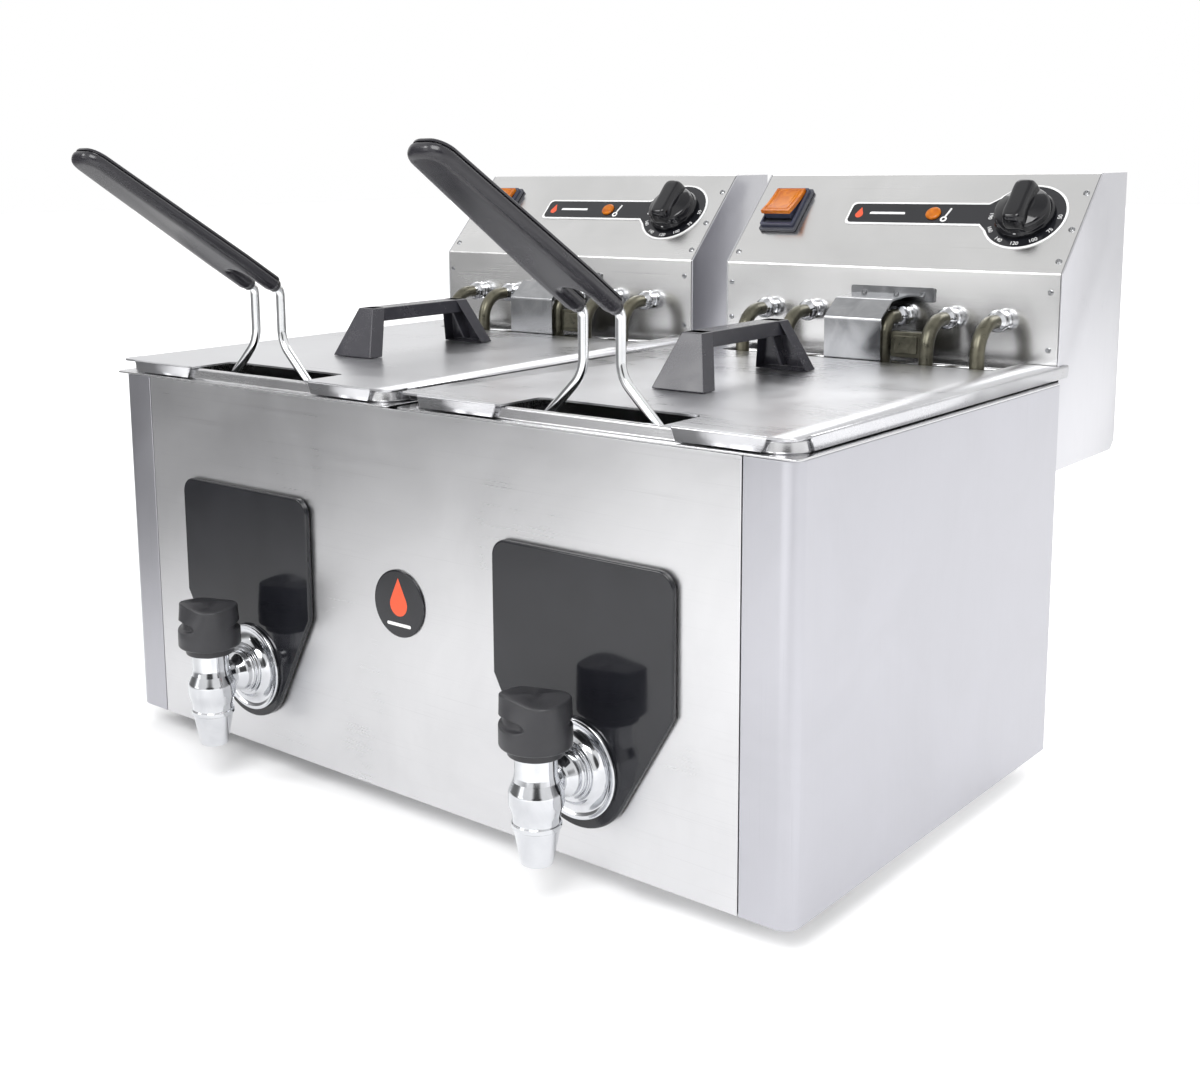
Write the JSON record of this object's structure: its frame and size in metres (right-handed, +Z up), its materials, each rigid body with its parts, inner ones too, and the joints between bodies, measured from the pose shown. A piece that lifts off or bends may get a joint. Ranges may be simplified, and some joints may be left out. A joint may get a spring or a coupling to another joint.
{
  "type": "countertop deep fryer",
  "caption": "Twin-tank electric countertop deep fryer with lift-off control heads, immersion elements, wire-handled baskets, lids with bridge handles and front drain taps.",
  "frame": {"origin": "centre of the bounding box in plan, on the surface the feet stand on", "axes": "+X to the right seen from the front, +Y to the back (the front panel faces -Y), +Z up"},
  "size_m": [0.5524, 0.549, 0.4109],
  "materials": {
    "satin_steel": "satin brushed stainless steel",
    "bright_steel": "bright bent stainless sheet",
    "chrome": "polished",
    "sheath": "olive-grey oxidised heating-element sheath",
    "gloss_black": "gloss",
    "satin_black": "satin",
    "grey_plastic": "satin dark slate",
    "rubber": "matt",
    "amber": "translucent amber lens",
    "bakelite": "moulded"
  },
  "bodies": {
    "cabinet": {"side_panel_left": "satin_steel", "side_panel_right": "satin_steel", "front_panel": "satin_steel", "rear_panel": "satin_steel", "base_plate": "satin_steel", "foot_front_left": "rubber", "foot_front_right": "rubber", "foot_rear_left": "rubber", "foot_rear_right": "rubber", "emblem": "gloss_black", "tank_left": "satin_steel", "tap_plate_left": "gloss_black", "tap_flange_left": "chrome", "tap_body_left": "chrome", "tank_right": "satin_steel", "tap_plate_right": "gloss_black", "tap_flange_right": "chrome", "tap_body_right": "chrome"},
    "tap_knob_left": {"tap_knob_left": "satin_black"},
    "control_head_left": {"head_housing_left": "satin_steel", "head_fascia_left": "satin_steel", "heating_element_outer_left": "sheath", "heating_element_middle_left": "sheath", "heating_element_inner_left": "sheath", "element_guard_left": "bright_steel", "dial_label_left": "gloss_black", "thermostat_body_left": "bakelite", "safety_thermostat_left": "bakelite", "terminal_block_left": "bakelite", "switch_bezel_left": "satin_black", "pilot_lamp_left": "amber", "cable_gland_left": "satin_black"},
    "thermostat_knob_left": {"thermostat_knob_left": "gloss_black"},
    "switch_rocker_left": {"switch_rocker_left": "amber"},
    "basket_left": {"basket_left": "chrome", "basket_handle_left": "chrome", "basket_grip_left": "gloss_black"},
    "lid_left": {"lid_left": "satin_steel", "lid_handle_left": "grey_plastic"},
    "tap_knob_right": {"tap_knob_right": "satin_black"},
    "control_head_right": {"head_housing_right": "satin_steel", "head_fascia_right": "satin_steel", "heating_element_outer_right": "sheath", "heating_element_middle_right": "sheath", "heating_element_inner_right": "sheath", "element_guard_right": "bright_steel", "dial_label_right": "gloss_black", "thermostat_body_right": "bakelite", "safety_thermostat_right": "bakelite", "terminal_block_right": "bakelite", "switch_bezel_right": "satin_black", "pilot_lamp_right": "amber", "cable_gland_right": "satin_black"},
    "thermostat_knob_right": {"thermostat_knob_right": "gloss_black"},
    "switch_rocker_right": {"switch_rocker_right": "amber"},
    "basket_right": {"basket_right": "chrome", "basket_handle_right": "chrome", "basket_grip_right": "gloss_black"},
    "lid_right": {"lid_right": "satin_steel", "lid_handle_right": "grey_plastic"}
  },
  "joints": [
    {"name": "head_lift_left", "type": "slide", "parent": "cabinet", "child": "control_head_left", "axis": [0, 0, 1], "range_m": [0, 0.2]},
    {"name": "basket_lift_left", "type": "slide", "parent": "control_head_left", "child": "basket_left", "axis": [0, 0, 1], "range_m": [0, 0.16]},
    {"name": "lid_lift_left", "type": "slide", "parent": "basket_left", "child": "lid_left", "axis": [0, 0, 1], "range_m": [0, 0.15]},
    {"name": "tap_turn_left", "type": "hinge", "parent": "cabinet", "child": "tap_knob_left", "pos_m": [-0.1354, -0.19575, 0.105], "axis": [0, 0, 1], "range_deg": [0, 90]},
    {"name": "thermostat_turn_left", "type": "hinge", "parent": "control_head_left", "child": "thermostat_knob_left", "pos_m": [-0.0522, 0.19827, 0.36495], "axis": [0, 0.7157, -0.6984], "range_deg": [0, 270]},
    {"name": "switch_rock_left", "type": "hinge", "parent": "control_head_left", "child": "switch_rocker_left", "pos_m": [-0.2341, 0.20424, 0.36248], "axis": [1, 0, 0], "range_deg": [0, 24]},
    {"name": "head_lift_right", "type": "slide", "parent": "cabinet", "child": "control_head_right", "axis": [0, 0, 1], "range_m": [0, 0.2]},
    {"name": "basket_lift_right", "type": "slide", "parent": "control_head_right", "child": "basket_right", "axis": [0, 0, 1], "range_m": [0, 0.16]},
    {"name": "lid_lift_right", "type": "slide", "parent": "basket_right", "child": "lid_right", "axis": [0, 0, 1], "range_m": [0, 0.15]},
    {"name": "tap_turn_right", "type": "hinge", "parent": "cabinet", "child": "tap_knob_right", "pos_m": [0.1412, -0.19575, 0.105], "axis": [0, 0, 1], "range_deg": [0, 90]},
    {"name": "thermostat_turn_right", "type": "hinge", "parent": "control_head_right", "child": "thermostat_knob_right", "pos_m": [0.2298, 0.19827, 0.36495], "axis": [0, 0.7157, -0.6984], "range_deg": [0, 270]},
    {"name": "switch_rock_right", "type": "hinge", "parent": "control_head_right", "child": "switch_rocker_right", "pos_m": [0.0479, 0.20424, 0.36248], "axis": [1, 0, 0], "range_deg": [0, 24]}
  ]
}
